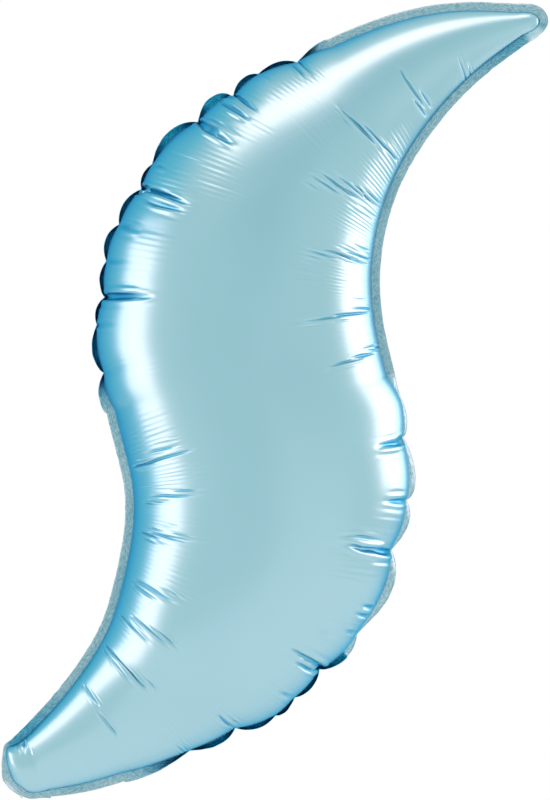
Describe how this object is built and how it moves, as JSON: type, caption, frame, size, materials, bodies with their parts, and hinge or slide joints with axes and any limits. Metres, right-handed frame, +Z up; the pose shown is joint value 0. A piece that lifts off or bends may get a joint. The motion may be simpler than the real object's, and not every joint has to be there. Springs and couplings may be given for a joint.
{
  "type": "curve foil balloon",
  "caption": "S-shaped party balloon of pastel blue satin foil, air-filled, with a welded margin all round, a pointed tip, a blunt tail and a filling inlet at the tail's corner.",
  "frame": {"origin": "middle of the balloon in its seam plane, where the air carries it; the mount air_hold names it", "axes": "+X to the right and +Z up as hung with the tip up and right, +Y out of the back film, so the front film faces -Y"},
  "size_m": [0.5139, 0.2112, 0.75],
  "materials": {
    "foil": "satin pastel blue metallised film",
    "margin_foil": "crimped heat-sealed metallised film",
    "clear_film": "clear crinkled film"
  },
  "bodies": {
    "root": {"front_film": "foil", "back_film": "foil", "lower_left_margin": "margin_foil", "upper_left_margin": "margin_foil", "lower_right_margin": "margin_foil", "upper_right_margin": "margin_foil", "tip_margin": "margin_foil", "tail_margin": "margin_foil", "inlet_film": "clear_film"}
  },
  "joints": []
}
